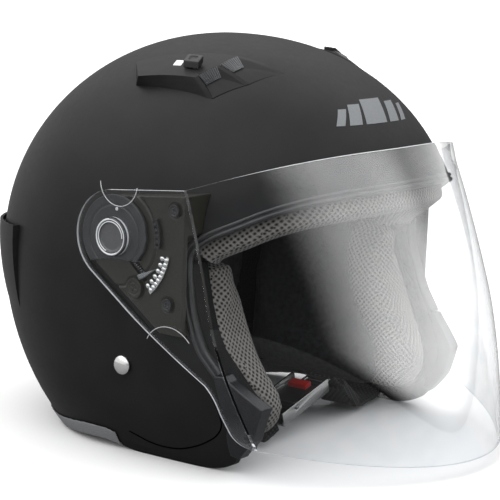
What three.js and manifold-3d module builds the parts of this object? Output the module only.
// Open face motorcycle helmet with a lifting clear visor.
// Millimetres, +Z up, the face looks along -Y, the wearer's left is +X.
// The helmet stands on its cheek bottoms and its nape edge at z = 0.
import * as THREE from 'three';
import Module from 'manifold-3d';

const wasm = await Module();
wasm.setup();

// ---------------------------------------------------------------- driving sizes
const shellHalfWidth = 121;
const shellFront = 133;
const shellRear = 128;
const crownHeight = 225;
const equatorHeight = 99;
const domeExponentSide = 2.1;
const domeExponentFront = 2.15;
const domeExponentRear = 1.98;
const planExponentFront = 2.4;
const planExponentCheek = 4.2;
const planExponentRear = 2.2;
const cheekTuck = 0.19;
const napeTuck = 0.345;

const shellWall = 4;
const linerThickness = 25;
const padThickness = 7;
const cheekBlockThickness = 12;
const cheekPadThickness = 34;
const cheekSpace = 126;
const clearance = 0.35;
const facetAllowance = 0.8;

const pivotY = -21.5;
const pivotZ = 123.5;

const visorThickness = 2.4;
const visorStandoff = 6.5;
const visorEarX = shellHalfWidth + visorStandoff;
const visorEarRadius = 24.6;
const visorEarTopZ = 152.5;
const visorTopZ = 169.5;
const visorBottomZ = 7;
const visorCornerZ = 18.5;
const visorReach = 58;
const visorBrowGap = 4.93;
const visorLeastGap = 4.4;
const visorCornerInset = 9.64;
// The shell's tuck at the visor's lower corner draws the ear in by the same amount.
const visorCornerDraw = visorCornerInset
  + shellHalfWidth * cheekTuck * ((equatorHeight - visorCornerZ) / equatorHeight) ** 3;
const visorSeamLap = 0.3;

const browFrontZ = 150;

const trimSkin = 1.2;
const trimWrap = 3.2;
const trimProud = 1.6;
const baseTrimHeight = 8.5;
const bumperThickness = 2;
const browBandDrop = 7;

const earPocketDepth = 2.4;
const baseProud = 1.4;
const baseFaceX = shellHalfWidth + baseProud;
const camRadius = 22;
const camThickness = 1.9;
const hubRadius = 10;
const hubProud = 1.6;
const rackInnerRadius = 31.5;
const rackOuterRadius = 37;
const rackTeeth = 9;
const rackThickness = 1.9;
const pawlLength = 9;
const springRadius = 1.3;
const bossRadius = 5.2;
const screwRadius = 3.2;
const screwShankRadius = 1.5;
const screwHeadThickness = 1.2;

const rivetY = -23;
const rivetZ = 53.5;
const rivetRadius = 5.4;
const rivetShankRadius = 2.4;

const washerRadius = 8;
const washerThickness = 1;

const strapWidth = 20;
const strapThickness = 1.8;
const strapSlack = 1.2;
const strapStart = 0.008;
const strapPadThickness = 2.2;
const buckleLength = 46;
const buckleWidth = 25;
const buckleHeight = 8;
const buckleWall = 1.5;
const buckleTiltDeg = 15;

const ventHeight = 6;
const ventRoof = 1.5;
const ventFloor = 1.2;
const ventSliderTravel = 7;
const rearVentHeight = 6.5;
const rearVentHalfWidth = 60;

const simplifyTolerance = 0.02;
const segmentsRound = 36;
const segmentsUp = 10;
const segmentsInside = 24;
const segmentsUpInside = 8;

// How far bars and prisms run past the helmet's sides, and where side holes stop inside it.
const beyondSide = shellHalfWidth + 39;
const throughShell = shellHalfWidth - 21;
const throughBlock = shellHalfWidth - 41;
const screwTipX = shellHalfWidth - 9;

// ---------------------------------------------------------------- tools
const group = new THREE.Group();

function solidFrom(geometry) {
  const plain = geometry.index ? geometry.toNonIndexed() : geometry.clone();
  const welded = mergeByPosition(plain);
  return new wasm.Manifold(new wasm.Mesh({
    numProp: 3,
    vertProperties: welded.positions,
    triVerts: welded.triangles,
  }));
}

// Corners that share a place become one corner.
function mergeByPosition(geometry) {
  const source = geometry.getAttribute('position');
  const places = new Map();
  const positions = [];
  const corners = [];
  for (let i = 0; i < source.count; i += 1) {
    const place = [source.getX(i), source.getY(i), source.getZ(i)];
    const key = place.map((v) => Math.round(v * 1e4)).join(',');
    if (!places.has(key)) {
      places.set(key, positions.length / 3);
      positions.push(...place);
    }
    corners.push(places.get(key));
  }
  const triangles = [];
  for (let i = 0; i < corners.length; i += 3) {
    const [a, b, c] = corners.slice(i, i + 3);
    if (a !== b && b !== c && c !== a) {
      triangles.push(a, b, c);
    }
  }
  return {
    positions: new Float32Array(positions),
    triangles: new Uint32Array(triangles),
  };
}

function geometryFrom(solid) {
  const mesh = solid.getMesh();
  const geometry = new THREE.BufferGeometry();
  const count = mesh.vertProperties.length / mesh.numProp;
  const positions = new Float32Array(count * 3);
  for (let i = 0; i < count; i += 1) {
    for (let k = 0; k < 3; k += 1) {
      positions[3 * i + k] = mesh.vertProperties[mesh.numProp * i + k];
    }
  }
  geometry.setAttribute('position', new THREE.BufferAttribute(positions, 3));
  geometry.setIndex(new THREE.BufferAttribute(new Uint32Array(mesh.triVerts), 1));
  geometry.computeVertexNormals();
  return geometry;
}

function add(name, solid, material) {
  const [color, roughness, metalness] = material;
  const mesh = new THREE.Mesh(
    geometryFrom(solid.simplify(simplifyTolerance)),
    new THREE.MeshStandardMaterial({ color, roughness, metalness }),
  );
  mesh.name = name;
  group.add(mesh);
  return mesh;
}

function mirrored(solid) {
  return solid.mirror([1, 0, 0]);
}

// Adds the piece on the wearer's right (-X) and its mirror image on the left.
function addPair(name, solid, material) {
  add(`${name}_right`, solid, material);
  add(`${name}_left`, mirrored(solid), material);
}

const matteShell = ['#3c4148', 0.55, 0.0];
const darkTrim = ['#15171b', 0.35, 0.0];
const greyTrim = ['#54575c', 0.6, 0.0];
const foam = ['#1d1e20', 0.95, 0.0];
const greyMesh = ['#a9a8a4', 0.9, 0.0];
const blackFabric = ['#17181a', 0.95, 0.0];
const clearPlastic = ['#dfe7ee', 0.05, 0.0];
const olivePlastic = ['#3a3b33', 0.45, 0.0];
const greyPlastic = ['#6d7077', 0.4, 0.0];
const chromeMetal = ['#e4e6e8', 0.1, 1.0];
const springSteel = ['#8d9096', 0.3, 1.0];
const webbing = ['#111214', 0.9, 0.0];
const redPlastic = ['#a3231c', 0.4, 0.0];

// ---------------------------------------------------------------- the helmet's form
// Half-sizes of the dome at a height, for a surface that lies `inset` inside the outer face.
function sectionAt(z, inset) {
  const rise = (crownHeight - equatorHeight) - inset;
  const up = Math.min(Math.max((z - equatorHeight) / rise, 0), 1);
  const close = (exponent) => (1 - up ** exponent) ** (1 / exponent);
  const down = Math.min(Math.max((equatorHeight - z) / equatorHeight, 0), 1);
  return {
    side: (shellHalfWidth * (1 - cheekTuck * down ** 3) - inset) * close(domeExponentSide),
    front: (shellFront - inset) * close(domeExponentFront),
    rear: (shellRear * (1 - napeTuck * down ** 1.9) - inset) * close(domeExponentRear),
    frontExponent: planExponentFront + (planExponentCheek - planExponentFront) * down,
  };
}

function planPoint(section, angle) {
  const c = Math.cos(angle);
  const s = Math.sin(angle);
  const exponent = c > 0 ? section.frontExponent : planExponentRear;
  const depth = c > 0 ? -section.front : section.rear;
  return [
    section.side * Math.sign(s) * Math.abs(s) ** (2 / exponent),
    depth * Math.abs(c) ** (2 / exponent),
  ];
}

const domeFoot = -12;

// A closed body whose skin lies `inset` inside the shell's outer face.
function domeSolid(inset, round = segmentsRound, upward = segmentsUp) {
  const heights = [];
  const lower = Math.ceil(upward * 0.45);
  for (let i = 0; i < lower; i += 1) {
    heights.push(domeFoot + (equatorHeight - domeFoot) * (i / lower));
  }
  const rise = (crownHeight - equatorHeight) - inset;
  for (let i = 0; i < upward; i += 1) {
    heights.push(equatorHeight + rise * Math.sin((Math.PI / 2) * (i / upward)));
  }
  const rings = heights.map((z) => {
    const section = sectionAt(z, inset);
    const ring = [];
    for (let k = 0; k < round; k += 1) {
      ring.push([...planPoint(section, (2 * Math.PI * k) / round), z]);
    }
    return ring;
  });
  return skinnedRings(rings, [0, 0, equatorHeight + rise]);
}

// Closes a stack of rings with a flat foot and a point at the top; the two halves mirror each other.
function skinnedRings(rings, top) {
  const corners = [];
  const count = rings[0].length;
  const face = (...points) => corners.push(...points.flat());
  const foot = [0, 0, rings[0][0][2]];
  for (let k = 0; k < count; k += 1) {
    const next = (k + 1) % count;
    face(foot, rings[0][next], rings[0][k]);
    for (let i = 0; i + 1 < rings.length; i += 1) {
      const [a, b] = [rings[i][k], rings[i][next]];
      const [c, d] = [rings[i + 1][next], rings[i + 1][k]];
      if (k < count / 2) {
        face(a, b, c);
        face(a, c, d);
      } else {
        face(a, b, d);
        face(b, c, d);
      }
    }
    face(rings.at(-1)[k], rings.at(-1)[next], top);
  }
  const geometry = new THREE.BufferGeometry();
  geometry.setAttribute('position', new THREE.Float32BufferAttribute(corners, 3));
  return solidFrom(geometry);
}

const domeCache = new Map();

function dome(inset, round = segmentsRound, upward = segmentsUp) {
  const key = `${inset} ${round} ${upward}`;
  if (!domeCache.has(key)) {
    domeCache.set(key, domeSolid(inset, round, upward));
  }
  return domeCache.get(key);
}

function layer(outerInset, innerInset) {
  return dome(outerInset).subtract(dome(innerInset));
}

// A lining whose outer face follows the shell's facets and whose inner face is coarser.
function lining(outerInset, innerInset) {
  return dome(outerInset).subtract(dome(innerInset, segmentsInside, segmentsUpInside));
}

// ---------------------------------------------------------------- simple solids
const acrossX = new THREE.Matrix4().makeBasis(
  new THREE.Vector3(0, 1, 0),
  new THREE.Vector3(0, 0, 1),
  new THREE.Vector3(1, 0, 0),
);

// A side-view outline (y, z) carried across from x = from to x = to.
function sidePrism(outline, from = -beyondSide, to = beyondSide, curveSegments = 4) {
  const shape = outline instanceof THREE.Shape ? outline : polygon(outline);
  const geometry = new THREE.ExtrudeGeometry(shape, {
    depth: to - from,
    bevelEnabled: false,
    curveSegments,
  });
  geometry.applyMatrix4(acrossX);
  geometry.translate(from, 0, 0);
  return solidFrom(geometry);
}

// A plan outline (x, y) carried up from z = from to z = to.
function planPrism(outline, from, to, curveSegments = 8) {
  const shape = outline instanceof THREE.Shape ? outline : polygon(outline);
  const geometry = new THREE.ExtrudeGeometry(shape, {
    depth: to - from,
    bevelEnabled: false,
    curveSegments,
  });
  geometry.translate(0, 0, from);
  return solidFrom(geometry);
}

function polygon(points) {
  return new THREE.Shape(points.map(([a, b]) => new THREE.Vector2(a, b)));
}

function box(from, to) {
  const size = to.map((v, i) => v - from[i]);
  const geometry = new THREE.BoxGeometry(...size);
  geometry.translate(...from.map((v, i) => v + size[i] / 2));
  return solidFrom(geometry);
}

// A round bar along X.
function barX(y, z, radius, from, to, sides = 24) {
  const geometry = new THREE.CylinderGeometry(radius, radius, to - from, sides);
  geometry.rotateZ(Math.PI / 2);
  geometry.translate((from + to) / 2, y, z);
  return solidFrom(geometry);
}

// ---------------------------------------------------------------- outlines seen from the side
const browFrontY = -134;
const templeY = -61;
const templeZ = 118;
const cheekFrontY = -101;
const cheekFrontZ = 39;

// The face opening, grown outwards by `g` (towards the crown and the ear).
function faceOpening(g = 0) {
  const shape = new THREE.Shape();
  shape.moveTo(-220, browFrontZ + 2 + g);
  shape.lineTo(browFrontY, browFrontZ + g);
  shape.quadraticCurveTo(-110, 149 + g, -83, 133 + g);
  shape.bezierCurveTo(-72, 127 + g, templeY + g, 124 + g, templeY + g, templeZ - 4);
  shape.bezierCurveTo(templeY + g, 96, -67 + g, 80, -73 + g, 68);
  shape.lineTo(-85 + g, 53 - g * 0.3);
  shape.lineTo(cheekFrontY + g, cheekFrontZ - g * 0.3);
  shape.lineTo(-96 + g, 22);
  shape.lineTo(-87 + g, 11);
  shape.quadraticCurveTo(-80 + g, 3, -70 + g, -20);
  shape.lineTo(-220, -20);
  shape.closePath();
  return shape;
}

// Everything below the helmet's lower edge, which is flat under the cheeks and the nape.
function belowEdge(rise = 0) {
  const shape = new THREE.Shape();
  shape.moveTo(-220, -60);
  shape.lineTo(220, -60);
  shape.lineTo(220, rise);
  shape.lineTo(52, rise);
  shape.bezierCurveTo(40, rise, 24, 3.5 + rise, 8, 4 + rise);
  shape.bezierCurveTo(-6, 4.5 + rise, -8, rise, -20, rise);
  shape.lineTo(-58, rise);
  shape.quadraticCurveTo(-76, rise, -86, 8 + rise);
  shape.lineTo(-220, 8 + rise);
  shape.closePath();
  return sidePrism(shape);
}

// ---------------------------------------------------------------- places on the shell
// How far the surface `inset` inside the shell reaches to the side at a depth and height.
function sideX(y, z, inset = 0) {
  const section = sectionAt(z, inset);
  const depth = y < 0 ? section.front : section.rear;
  const exponent = y < 0 ? section.frontExponent : planExponentRear;
  return section.side * (1 - (Math.abs(y) / depth) ** exponent) ** (1 / exponent);
}

// The height of the shell's outer face above a point of the plan.
function topZ(x, y) {
  let low = equatorHeight;
  let high = crownHeight;
  for (let i = 0; i < 40; i += 1) {
    const middle = (low + high) / 2;
    const section = sectionAt(middle, 0);
    const depth = y < 0 ? section.front : section.rear;
    const exponent = y < 0 ? section.frontExponent : planExponentRear;
    const inside = (Math.abs(x) / section.side) ** exponent
      + (Math.abs(y) / depth) ** exponent < 1;
    if (inside) {
      low = middle;
    } else {
      high = middle;
    }
  }
  return low;
}

// A frame that sits on the shell: local X across, Y along (rearwards), Z away from the shell.
function topFrame(x, y, turn = 0) {
  const step = 1;
  const here = new THREE.Vector3(x, y, topZ(x, y));
  const ahead = new THREE.Vector3(x, y + step, topZ(x, y + step)).sub(here);
  const aside = new THREE.Vector3(x + step, y, topZ(x + step, y)).sub(here);
  const normal = new THREE.Vector3().crossVectors(aside, ahead).normalize();
  const along = ahead.normalize().applyAxisAngle(normal, turn);
  const across = new THREE.Vector3().crossVectors(along, normal);
  return new THREE.Matrix4().makeBasis(across, along, normal).setPosition(here);
}

// The innermost reach of the shell's wall over a round seat, where a flat disc can rest.
function seatX(y, z, radius, inset) {
  const turns = [0, 1, 2, 3, 4, 5, 6, 7].map((k) => (k * Math.PI) / 4);
  return Math.min(...turns.map((a) => sideX(y + radius * Math.cos(a), z + radius * Math.sin(a), inset)));
}

function placed(solid, matrix) {
  return solid.transform(matrix.elements);
}

// ---------------------------------------------------------------- visor ear and pivot places
// The visor ear seen from the side, grown by `g`.
function earOutline(g = 0) {
  const r = visorEarRadius + g;
  const from = Math.PI * 0.49;
  const to = -0.3 * Math.PI;
  const shape = new THREE.Shape();
  shape.moveTo(creaseY(visorEarTopZ) - visorSeamLap, visorEarTopZ + g);
  shape.lineTo(pivotY + r * Math.cos(from), pivotZ + r * Math.sin(from));
  shape.absarc(pivotY, pivotZ, r, from, to, true);
  shape.lineTo(-79 + g * 0.6, 52 - g * 0.8);
  shape.quadraticCurveTo(-84 + g, 46, -85 + g, 37);
  shape.lineTo(-88 + g, 26 - g);
  shape.quadraticCurveTo(-91, visorCornerZ - g, creaseY(visorCornerZ) - visorSeamLap, visorCornerZ - g);
  for (const z of [40, 60, 80, 100, 125]) {
    shape.lineTo(creaseY(z) - visorSeamLap, z);
  }
  shape.closePath();
  return shape;
}

// How far out the ear lies at a height: flat above, drawn in below.
function earX(z) {
  const low = Math.max(0, (85 - z) / (85 - visorCornerZ));
  return visorEarX - visorCornerDraw * low ** 1.6;
}

// The crease between the ear and the curved front, as y at a height.
function creaseY(z) {
  const t = (visorEarTopZ - z) / (visorEarTopZ - visorCornerZ);
  return -68 - 34 * Math.max(t, 0) ** 0.85;
}

function polar(radius, degrees) {
  const angle = (degrees * Math.PI) / 180;
  return [pivotY - radius * Math.cos(angle), pivotZ + radius * Math.sin(angle)];
}

const screwPlaces = [[-34.5, 97.5], [-56.5, 91.5], [-60, 141]];

// ---------------------------------------------------------------- vents: places in plan
const ventSliderPlace = [-57, -21];
const ventMouthPlaces = [[-67, -42], [-52, -48]];
const ventMouthWidth = 12;
const ventMouthDepth = 9;
const ventOutline = [
  [-79, -46],
  [-35, -67],
  [-39, -40],
  [-49, -18],
  [-63, 15],
  [-81, 5],
];

function ventShaft(place) {
  const [x, y] = place;
  return planPrism([
    [x - 4, y - 1],
    [x + 4, y - 1],
    [x + 4, y + 6],
    [x - 4, y + 6],
  ], 150, 240);
}

// ---------------------------------------------------------------- outer shell
function bothSides(solid) {
  return solid.add(mirrored(solid));
}

const rearTrimStart = -8;
const rearTrimSeat = 1.6;

function buildShell() {
  const pocket = sidePrism(earOutline(1.6), -beyondSide, -(shellHalfWidth - earPocketDepth));
  const rivetHole = barX(rivetY, rivetZ, rivetShankRadius + clearance, -beyondSide, -throughShell, 16);
  const rearCut = belowEdge(rearTrimSeat).intersect(box([-beyondSide, rearTrimStart, -60], [beyondSide, 200, 60]));
  let shell = layer(0, shellWall)
    .subtract(sidePrism(faceOpening()))
    .subtract(belowEdge())
    .subtract(rearCut)
    .subtract(bothSides(pocket))
    .subtract(bothSides(rivetHole));
  for (const [y, z] of screwPlaces) {
    shell = shell.subtract(bothSides(barX(y, z, screwShankRadius + clearance, -beyondSide, -throughBlock, 12)));
  }
  for (const place of ventMouthPlaces) {
    shell = shell.subtract(bothSides(ventShaft(place)));
  }
  return shell.subtract(box([-24, 90, 84], [24, 160, 92]));
}

const shellSolid = buildShell();
add('outer_shell', shellSolid, matteShell);

// ---------------------------------------------------------------- impact liner and pads
const trimReach = shellWall + trimSkin + clearance;
const linerOuter = shellWall + clearance;
const linerInner = linerOuter + linerThickness;
const padOuter = linerInner + clearance;
const padInner = padOuter + padThickness;
const neckRollInner = padInner - 6;
const cheekTopZ = 116;
const cheekRearY = 32;
const neckTopZ = 36;

function linerCut() {
  const shape = new THREE.Shape();
  const g = trimWrap + clearance;
  shape.moveTo(-220, browFrontZ + 2 + g);
  shape.lineTo(browFrontY, browFrontZ + g);
  shape.quadraticCurveTo(-110, 149 + g, -83, 133 + g);
  shape.lineTo(-54, cheekTopZ + 6);
  shape.lineTo(cheekRearY - 4, cheekTopZ);
  shape.lineTo(cheekRearY, cheekTopZ - 6);
  shape.lineTo(cheekRearY, neckTopZ);
  shape.lineTo(220, neckTopZ);
  shape.lineTo(220, -60);
  shape.lineTo(-220, -60);
  shape.closePath();
  return sidePrism(shape);
}

function buildLiner() {
  let liner = lining(linerOuter, linerInner).subtract(linerCut());
  for (const place of ventMouthPlaces) {
    liner = liner.subtract(bothSides(ventShaft(place)));
  }
  for (const [y, z] of screwPlaces) {
    liner = liner.subtract(bothSides(barX(y, z, screwRadius + 1, -beyondSide, -throughShell, 12)));
  }
  return liner;
}

add('eps_liner', buildLiner(), foam);

function buildCrownPad() {
  const reach = sidePrism([
    [-98, 160],
    [-40, 132],
    [44, 128],
    [48, 52],
    [120, 52],
    [120, 230],
    [-98, 230],
  ]);
  return dome(padOuter, segmentsInside, segmentsUpInside)
    .subtract(dome(padInner, segmentsInside, segmentsUpInside))
    .intersect(reach);
}

add('crown_pad', buildCrownPad(), blackFabric);

// The brow band hangs just below the shell's brow edge and folds up inside the liner.
function buildBrowBand() {
  const between = (low, high) => sidePrism(faceOpening(high)).subtract(sidePrism(faceOpening(low)));
  const front = box([-beyondSide, -200, cheekTopZ + 1.5], [beyondSide, -44, 190]);
  const lip = lining(trimReach, padInner)
    .intersect(between(-browBandDrop, trimWrap - 0.2));
  const fold = dome(padOuter, segmentsInside, segmentsUpInside)
    .subtract(dome(padInner, segmentsInside, segmentsUpInside))
    .intersect(between(-browBandDrop, 12))
    .subtract(sidePrism([[-97.5, 159], [-39.5, 131], [60, 128], [60, 240], [-97.5, 240]]));
  return lip.add(fold).intersect(front);
}

add('brow_band', buildBrowBand(), greyMesh);

function cheekOutline(shrink) {
  const shape = new THREE.Shape();
  shape.moveTo(-63 + shrink, cheekTopZ - 5);
  shape.bezierCurveTo(-66 + shrink, 96, -70 + shrink, 80, -77 + shrink, 66);
  shape.quadraticCurveTo(-86 + shrink, 52, -95 + shrink, 38);
  shape.quadraticCurveTo(-98 + shrink, 22, -82 + shrink, 13);
  shape.lineTo(-50, 11);
  shape.lineTo(20, 12);
  shape.lineTo(cheekRearY - 1, 24);
  shape.lineTo(cheekRearY - 1, cheekTopZ - 12);
  shape.quadraticCurveTo(10, cheekTopZ - 1, -20, cheekTopZ - 1);
  shape.closePath();
  return shape;
}

const blockInner = linerOuter + cheekBlockThickness;
const cheekPadOuter = blockInner + clearance;
const cheekPadInner = cheekPadOuter + cheekPadThickness;

function buildCheekBlock() {
  let block = lining(trimReach, blockInner)
    .intersect(sidePrism(cheekOutline(4), -beyondSide, 0))
    .subtract(strapRibbon(-1, 1.4, 4))
    .subtract(barX(rivetY, rivetZ, washerRadius + 1, -beyondSide, -throughShell, 16));
  for (const [y, z] of screwPlaces) {
    block = block.subtract(barX(y, z, screwRadius + 1, -beyondSide, -throughShell, 12));
  }
  return block;
}

function buildCheekPad() {
  return dome(cheekPadOuter, segmentsInside, segmentsUpInside)
    .subtract(dome(cheekPadInner, segmentsInside, segmentsUpInside))
    .intersect(sidePrism(cheekOutline(0), -beyondSide, -cheekSpace / 2));
}

function buildNeckRoll() {
  return lining(trimReach, neckRollInner)
    .intersect(box([-beyondSide, cheekRearY + 1, baseTrimHeight + 1.5], [beyondSide, 200, neckTopZ - clearance]));
}

// ---------------------------------------------------------------- chin strap
// The middle line of the right strap, from above the rivet down and in to the buckle.
function strapPath(endX, endZ) {
  const seat = sideX(rivetY, rivetZ, 0) - washerFaceX() + washerThickness
    + strapThickness / 2 + strapSlack;
  const wall = (y, z) => new THREE.Vector3(-sideX(y, z, seat), y, z);
  return new THREE.CatmullRomCurve3([
    wall(rivetY, rivetZ + 10),
    wall(rivetY, rivetZ),
    wall(-32, 34),
    wall(-40, 16),
    new THREE.Vector3(-(shellHalfWidth - 33), -46, 4.6),
    new THREE.Vector3(-(shellHalfWidth - 51), -50, 4),
    new THREE.Vector3(-54, -54, 5.2),
    new THREE.Vector3(endX, -58, endZ),
  ]);
}

const buckleMiddle = new THREE.Vector3(-12, -58, 17);
const buckleTilt = (buckleTiltDeg * Math.PI) / 180;
const tongueReach = 32;

function alongBuckle(u, w) {
  return [
    buckleMiddle.x + u * Math.cos(buckleTilt) - w * Math.sin(buckleTilt),
    buckleMiddle.z + u * Math.sin(buckleTilt) + w * Math.cos(buckleTilt),
  ];
}

// A flat ribbon along the strap's path; side -1 is the right strap, 1 the left.
function strapRibbon(side, growThick = 0, growWide = 0, from = 0, to = 1) {
  const [endX, endZ] = side < 0
    ? alongBuckle(-buckleLength / 2 - 1, buckleWall + strapThickness)
    : alongBuckle(tongueReach + 1, buckleWall + strapThickness);
  const curve = strapPath(side < 0 ? endX : -endX, endZ);
  const steps = 26;
  const half = strapThickness / 2 + growThick;
  const wide = strapWidth / 2 + growWide;
  return sheetSolid((i, j, out) => {
    const t = from + ((to - from) * i) / steps;
    const here = curve.getPoint(t);
    const tangent = curve.getTangent(t);
    const length = Math.hypot(tangent.x, tangent.z);
    const offset = out ? half : -half;
    const x = here.x - (tangent.z / length) * offset;
    const z = here.z + (tangent.x / length) * offset;
    return [-side * x, here.y + (j === 0 ? -wide : wide), z];
  }, steps, 1);
}

function sheetSolid(point, columns, rows) {
  const corners = [];
  const face = (...points) => corners.push(...points.flat());
  const quad = (a, b, c, d) => {
    face(a, b, c);
    face(a, c, d);
  };
  for (let i = 0; i < columns; i += 1) {
    for (let j = 0; j < rows; j += 1) {
      quad(point(i, j, 1), point(i, j + 1, 1), point(i + 1, j + 1, 1), point(i + 1, j, 1));
      quad(point(i, j, 0), point(i + 1, j, 0), point(i + 1, j + 1, 0), point(i, j + 1, 0));
    }
  }
  for (let i = 0; i < columns; i += 1) {
    quad(point(i, 0, 0), point(i, 0, 1), point(i + 1, 0, 1), point(i + 1, 0, 0));
    quad(point(i, rows, 0), point(i + 1, rows, 0), point(i + 1, rows, 1), point(i, rows, 1));
  }
  for (let j = 0; j < rows; j += 1) {
    quad(point(0, j, 0), point(0, j + 1, 0), point(0, j + 1, 1), point(0, j, 1));
    quad(point(columns, j, 0), point(columns, j, 1), point(columns, j + 1, 1), point(columns, j + 1, 0));
  }
  const geometry = new THREE.BufferGeometry();
  geometry.setAttribute('position', new THREE.Float32BufferAttribute(corners, 3));
  return outward(geometry);
}

// A sheet's corners may run either way round: the solid always faces out.
function outward(geometry) {
  const solid = solidFrom(geometry);
  if (solid.volume() > 0) {
    return solid;
  }
  const flipped = geometry.clone();
  const source = geometry.getAttribute('position');
  const target = flipped.getAttribute('position');
  for (let i = 0; i < source.count; i += 3) {
    target.setXYZ(i + 1, source.getX(i + 2), source.getY(i + 2), source.getZ(i + 2));
    target.setXYZ(i + 2, source.getX(i + 1), source.getY(i + 1), source.getZ(i + 1));
  }
  return solidFrom(flipped);
}

addPair('eps_cheek', buildCheekBlock(), foam);
addPair('cheek_pad', buildCheekPad(), greyMesh);
add('neck_roll', buildNeckRoll(), blackFabric);

for (const [side, word] of [[-1, 'right'], [1, 'left']]) {
  const rivetGap = barX(rivetY, rivetZ, rivetShankRadius + clearance, -beyondSide, -throughShell, 16);
  const ribbon = strapRibbon(side, 0, 0, strapStart).subtract(side < 0 ? rivetGap : mirrored(rivetGap));
  add(`chin_strap_${word}`, ribbon, webbing);
  const pad = strapRibbon(side, strapPadThickness, 3, 0.89, 0.975)
    .subtract(strapRibbon(side, clearance, clearance, 0.8, 1));
  add(`strap_pad_${word}`, pad, blackFabric);
}

function buildRivet() {
  const seat = -sideX(rivetY, rivetZ) - clearance - 0.35;
  const inner = -washerFaceX() + washerThickness + strapThickness + strapSlack + 1;
  const profile = new THREE.Shape();
  profile.moveTo(0, 0);
  profile.lineTo(rivetRadius, 0);
  profile.quadraticCurveTo(rivetRadius, 2.2, 0, 2.8);
  profile.closePath();
  const head = new THREE.LatheGeometry(profile.getPoints(6), 24);
  head.rotateZ(Math.PI / 2);
  head.translate(seat, rivetY, rivetZ);
  return outward(head).add(barX(rivetY, rivetZ, rivetShankRadius, seat - 0.2, inner, 16));
}

// The washer's face against the shell; the strap runs just inside it.
function washerFaceX() {
  return seatX(rivetY, rivetZ, washerRadius, shellWall) - clearance - facetAllowance;
}

function buildWasher() {
  const face = -washerFaceX();
  return barX(rivetY, rivetZ, washerRadius, face, face + washerThickness, 24)
    .subtract(barX(rivetY, rivetZ, rivetShankRadius + clearance, -beyondSide, -throughShell, 16));
}

addPair('strap_rivet', buildRivet(), chromeMetal);
addPair('rivet_washer', buildWasher(), springSteel);

// ---------------------------------------------------------------- quick-release buckle
function buckleBox(from, to) {
  const matrix = new THREE.Matrix4()
    .makeRotationY(-buckleTilt)
    .setPosition(buckleMiddle);
  return placed(box(from, to), matrix);
}

function buckleBar(u, w, radius, halfWidth) {
  const geometry = new THREE.CylinderGeometry(radius, radius, halfWidth * 2, 16);
  const [x, z] = alongBuckle(u, w);
  geometry.translate(x, buckleMiddle.y, z);
  return solidFrom(geometry);
}

const leverPinU = -9;
const leverPinW = 5.4;
const pinRadius = 1.1;

function buildBuckleBody() {
  const half = buckleLength / 2;
  const wide = buckleWidth / 2;
  const floor = buckleBox([-half, -wide, 0], [half, wide, buckleWall]);
  const wall = (side) => buckleBox(
    [-half, side < 0 ? -wide : wide - buckleWall, 0],
    [half, side < 0 ? buckleWall - wide : wide, buckleHeight],
  );
  return floor.add(wall(-1)).add(wall(1))
    .subtract(buckleBar(leverPinU, leverPinW, pinRadius + clearance, buckleWidth));
}

function buildBuckleLever() {
  const wide = buckleWidth / 2 - buckleWall - clearance;
  const plate = buckleBox([-11.5, -wide, 4.6], [15, wide, 6.6]);
  const barrel = buckleBar(leverPinU, leverPinW, pinRadius + 1, wide);
  const tab = buckleBox([9, -6, 6.2], [15, 6, 9]);
  return plate.add(barrel).add(tab)
    .subtract(buckleBar(leverPinU, leverPinW, pinRadius + clearance, buckleWidth));
}

function buildTongue() {
  const low = buckleWall + clearance;
  const plate = buckleBox([-2, -8, low], [tongueReach, 8, low + 1.3]);
  return plate.subtract(buckleBox([25, -6, 0], [28, 6, 6]));
}

add('buckle_body', buildBuckleBody(), chromeMetal);
add('buckle_lever', buildBuckleLever(), redPlastic);
add('buckle_pin', buckleBar(leverPinU, leverPinW, pinRadius, buckleWidth / 2 + 0.6), springSteel);
add('ratchet_tongue', buildTongue(), chromeMetal);

// ---------------------------------------------------------------- edge trims and corner bumpers
function shellKeepout(gap) {
  return layer(-gap, shellWall + gap).subtract(sidePrism(faceOpening(-gap)));
}

function buildFaceTrim() {
  const strip = layer(-trimSkin, shellWall + trimSkin)
    .intersect(sidePrism(faceOpening(trimWrap)).subtract(sidePrism(faceOpening(-trimProud))));
  return strip
    .intersect(box([-beyondSide, -200, 57], [beyondSide, 0, 200]))
    .subtract(shellKeepout(clearance));
}

function buildBaseTrim() {
  const strip = layer(-trimSkin, shellWall + trimSkin)
    .intersect(belowEdge(baseTrimHeight).subtract(belowEdge()))
    .intersect(box([-beyondSide, rearTrimStart + clearance, -60], [beyondSide, 200, 60]));
  return strip.subtract(layer(-clearance, shellWall + clearance)
    .subtract(belowEdge(rearTrimSeat - clearance)));
}

const bumperOutline = [
  [-81, 56.5],
  [-90, 56.5],
  [-106, 40],
  [-101, 20],
  [-91, 10],
  [-84, 12],
  [-86, 30],
];

function buildBumper() {
  return layer(-bumperThickness, shellWall + trimSkin)
    .intersect(sidePrism(bumperOutline, -beyondSide, 0))
    .intersect(sidePrism(faceOpening(30)).subtract(sidePrism(faceOpening(-2.2))))
    .subtract(shellKeepout(clearance));
}

add('face_edge_trim', buildFaceTrim(), darkTrim);
add('base_edge_trim', buildBaseTrim(), greyTrim);
addPair('visor_bumper', buildBumper(), darkTrim);

// ---------------------------------------------------------------- visor
const creaseAngle = (52 * Math.PI) / 180;

function visorSlope(z) {
  const t = (visorTopZ - z) / (visorTopZ - visorBottomZ);
  return visorReach * (1.45 * t - 0.45 * t ** 2);
}

// The visor's middle line, which passes the shell's brow edge at the stated gap.
function visorFrontY(z) {
  const browY = sectionAt(browFrontZ, 0).front + visorBrowGap;
  const line = browY + visorSlope(z) - visorSlope(browFrontZ);
  return -Math.max(line, sectionAt(z, 0).front + visorLeastGap);
}

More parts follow.
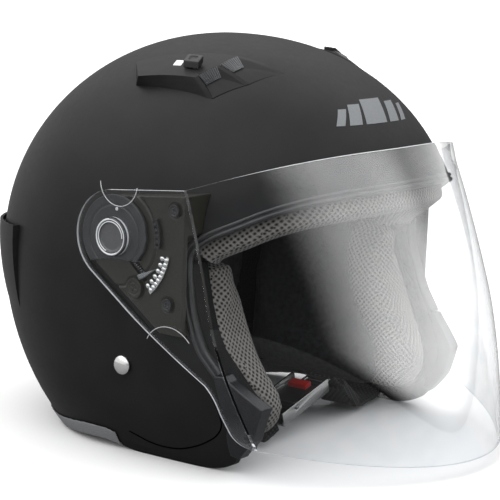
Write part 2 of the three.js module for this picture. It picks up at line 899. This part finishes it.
// A point of the curved front: across from -1 (right crease) to 1, down from 0 to 1.
function visorPoint(across, down, inward) {
  const top = visorEarTopZ + (visorTopZ - visorEarTopZ) * (1 - Math.abs(across) ** 2.5);
  const bottom = visorBottomZ + (visorCornerZ - visorBottomZ) * across ** 2;
  const z = top + (bottom - top) * down;
  const angle = across * creaseAngle;
  const share = (Math.cos(angle) - Math.cos(creaseAngle)) / (1 - Math.cos(creaseAngle));
  const back = creaseY(z);
  const x = ((earX(z) - inward) * Math.sin(angle)) / Math.sin(creaseAngle);
  const y = back + (visorFrontY(z) + inward - back) * share;
  return [x, y, z];
}

function buildVisor() {
  const columns = 20;
  const rows = 7;
  const front = sheetSolid((i, j, out) => visorPoint(
    (2 * i) / columns - 1,
    j / rows,
    out ? 0 : visorThickness,
  ), columns, rows);
  const earRows = 10;
  const earColumns = 3;
  const rearY = pivotY + visorEarRadius + 2;
  const earSheet = sheetSolid((i, j, out) => {
    const z = 156 - ((156 - visorCornerZ + 1) * j) / earRows;
    const y = creaseY(z) - visorSeamLap / 3 + ((rearY - creaseY(z)) * i) / earColumns;
    return [-(earX(z) - (out ? 0 : visorThickness)), y, z];
  }, earColumns, earRows);
  const ear = earSheet
    .intersect(sidePrism(earOutline(), -beyondSide, 0))
    .subtract(barX(pivotY, pivotZ, hubRadius + clearance, -beyondSide, -throughShell, 32));
  return front.add(bothSides(ear));
}

add('visor', buildVisor(), clearPlastic);

// ---------------------------------------------------------------- visor pivots
const camOuterX = visorEarX - visorThickness - clearance;
const pocketFloor = -(shellHalfWidth - earPocketDepth);
const springInnerEnd = polar(14.5, -50);
const springOuterEnd = polar(27.5, -45);
const springX = -(baseFaceX - springRadius - 0.3);

// A straight round bar between two side-view places at one x.
function barBetween(from, to, x, radius, sides) {
  const a = new THREE.Vector3(x, ...from);
  const b = new THREE.Vector3(x, ...to);
  const geometry = new THREE.CylinderGeometry(radius, radius, a.distanceTo(b), sides);
  geometry.applyQuaternion(new THREE.Quaternion().setFromUnitVectors(
    new THREE.Vector3(0, 1, 0),
    b.clone().sub(a).normalize(),
  ));
  const middle = a.add(b).multiplyScalar(0.5);
  geometry.translate(middle.x, middle.y, middle.z);
  return solidFrom(geometry);
}

function springGroove() {
  const longer = (from, to) => to.map((v, i) => v + (v - from[i]) * 0.06);
  const radius = springRadius + clearance;
  const a = longer(springOuterEnd, springInnerEnd);
  const b = longer(springInnerEnd, springOuterEnd);
  return barBetween(a, b, springX, radius, 10).add(barBetween(a, b, springX - radius, radius, 10));
}

function buildBase() {
  const outline = sidePrism(earOutline(-3.4), -baseFaceX, -throughShell)
    .intersect(box([-beyondSide, creaseY(visorEarTopZ) + 2, 76], [0, 20, 160]));
  let base = outline.subtract(dome(-clearance))
    .add(outline.intersect(box([-beyondSide, -200, 0], [pocketFloor - clearance, 200, 300])))
    .subtract(sidePrism(faceOpening(trimWrap + 0.6), pocketFloor - clearance, 0));
  base = base.subtract(springGroove());
  for (const [y, z] of screwPlaces) {
    base = base.subtract(barX(y, z, screwShankRadius + clearance, -beyondSide, -throughBlock, 12));
  }
  return base;
}

function buildCam() {
  return barX(pivotY, pivotZ, camRadius, -camOuterX, -camOuterX + camThickness, 32)
    .subtract(barX(pivotY, pivotZ, hubRadius + clearance, -beyondSide, -throughShell, 32));
}

function buildHub() {
  return barX(pivotY, pivotZ, hubRadius, -visorEarX - hubProud, -baseFaceX - clearance, 32);
}

// A ring segment about the pivot, with teeth cut into its inner edge where asked.
function ringSegment(inner, outer, fromDeg, toDeg, teeth) {
  const points = [];
  const steps = teeth ? teeth * 2 : 8;
  for (let i = 0; i <= steps; i += 1) {
    const degrees = fromDeg + ((toDeg - fromDeg) * i) / steps;
    points.push(polar(inner + (teeth && i % 2 ? 1.6 : 0), degrees));
  }
  for (let i = steps; i >= 0; i -= 2) {
    const degrees = fromDeg + ((toDeg - fromDeg) * i) / steps;
    points.push(polar(outer, degrees));
  }
  return points;
}

function onBase(outline, thickness) {
  const low = -baseFaceX - clearance;
  return sidePrism(outline, low - thickness, low);
}

function buildPawl() {
  const root = polar(camRadius + 4.2, -46);
  const tip = polar(rackInnerRadius - 0.5, -46 + (pawlLength / 27) * 57.3);
  const along = new THREE.Vector2(tip[0] - root[0], tip[1] - root[1]).normalize();
  const side = new THREE.Vector2(-along.y, along.x).multiplyScalar(1.3);
  const outline = [
    [root[0] - side.x, root[1] - side.y],
    tip,
    [root[0] + side.x + along.x * 3, root[1] + side.y + along.y * 3],
    [root[0] + side.x - along.x * 2, root[1] + side.y - along.y * 2],
    [root[0] - side.x - along.x * 2, root[1] - side.y - along.y * 2],
  ];
  return onBase(outline, rackThickness);
}

function buildSpring() {
  return barBetween(springInnerEnd, springOuterEnd, springX, springRadius, 10);
}

function buildScrew([y, z], radius) {
  const seat = -baseFaceX - clearance;
  return barX(y, z, radius, seat - screwHeadThickness, seat, 20)
    .add(barX(y, z, screwShankRadius, seat - 0.2, -screwTipX, 12));
}

addPair('pivot_base', buildBase(), olivePlastic);
addPair('visor_cam', buildCam(), greyPlastic);
addPair('visor_hub', buildHub(), clearPlastic);
addPair('detent_rack', onBase(ringSegment(rackInnerRadius, rackOuterRadius, -49, -11, rackTeeth),
  rackThickness), chromeMetal);
addPair('guide_rail', onBase(ringSegment(27, 30.5, -6, 24, 0), rackThickness), darkTrim);
addPair('detent_pawl', buildPawl(), springSteel);
addPair('pawl_spring', buildSpring(), springSteel);
screwPlaces.forEach((place, i) => {
  addPair(`base_screw_${i + 1}`, buildScrew(place, i === 0 ? bossRadius : screwRadius), springSteel);
});

// ---------------------------------------------------------------- top vents
const sliderFrame = topFrame(...ventSliderPlace);
const sliderLength = 8;
const slotHalfWidth = 3;
const shutterThickness = 1;

function localBox(frame, from, to) {
  return placed(box(from, to), frame);
}

function mouthFrame([x, y]) {
  return topFrame(x, y, -0.45);
}

function buildVentHousing() {
  const body = layer(-ventHeight, -clearance)
    .intersect(planPrism(ventOutline, 150, 260));
  const half = ventMouthWidth / 2;
  let housing = body;
  for (const place of ventMouthPlaces) {
    const frame = mouthFrame(place);
    housing = housing
      .subtract(localBox(frame, [-half, -26, ventFloor + clearance], [half, 0, 20]))
      .subtract(localBox(frame, [-half + 1, -1, ventFloor + clearance],
        [half - 1, ventMouthDepth, ventHeight - ventRoof]))
      .subtract(ventShaft(place));
  }
  const slot = localBox(sliderFrame, [-slotHalfWidth - clearance, -clearance, 0],
    [slotHalfWidth + clearance, sliderLength + ventSliderTravel + clearance, 20]);
  const cavity = localBox(sliderFrame, [-6.5, -2.5, ventFloor + clearance],
    [6.5, sliderLength + ventSliderTravel + 2.5, ventHeight - ventRoof]);
  return housing.subtract(slot).subtract(cavity);
}

function buildSlider() {
  const roof = ventHeight - ventRoof - clearance;
  const knob = localBox(sliderFrame, [-slotHalfWidth, 0, roof - 0.2],
    [slotHalfWidth, sliderLength, ventHeight + 2.4]);
  const shutter = localBox(sliderFrame, [-5.6, -1.8, roof - shutterThickness],
    [5.6, sliderLength + 1.8, roof]);
  return knob.add(shutter);
}

function buildVentGrille(place) {
  const half = ventMouthWidth / 2 - 1 - clearance;
  const low = ventFloor + clearance * 2;
  const high = ventHeight - ventRoof - clearance;
  return localBox(mouthFrame(place), [-half, 0.5, low], [half, 1.6, high]);
}

addPair('top_vent_housing', buildVentHousing(), matteShell);
addPair('top_vent_slider', buildSlider(), darkTrim);
ventMouthPlaces.forEach((place, i) => {
  addPair(`top_vent_grille_${i + 1}`, buildVentGrille(place), chromeMetal);
});

// ---------------------------------------------------------------- rear vent
const rearVentTopZ = 103;
const rearVentFootZ = 58;
const rearVentDrop = 14;

function buildRearVent() {
  const body = dome(-rearVentHeight).translate([0, 0, rearVentDrop])
    .subtract(dome(-clearance))
    .intersect(box([-rearVentHalfWidth, 40, rearVentFootZ], [rearVentHalfWidth, 180, rearVentTopZ]));
  const mouth = dome(-rearVentHeight + 1.3).translate([0, 0, rearVentDrop])
    .subtract(dome(-1.2))
    .intersect(box([-rearVentHalfWidth + 8, 40, 84], [rearVentHalfWidth - 8, 180, 120]));
  return body.subtract(mouth).subtract(box([-22, 90, 85], [22, 130, 91]));
}

function buildRearGrille() {
  return dome(-rearVentHeight + 1.3 + clearance).translate([0, 0, rearVentDrop])
    .subtract(dome(-1.2 - clearance))
    .intersect(box([-rearVentHalfWidth + 9, 40, 96], [rearVentHalfWidth - 9, 180, 98]));
}

add('rear_vent_cover', buildRearVent(), matteShell);
add('rear_vent_grille', buildRearGrille(), darkTrim);

// The origin is the middle of the footprint, on the table.
const bounds = new THREE.Box3().setFromObject(group);
group.position.y = -(bounds.min.y + bounds.max.y) / 2;

export default group;
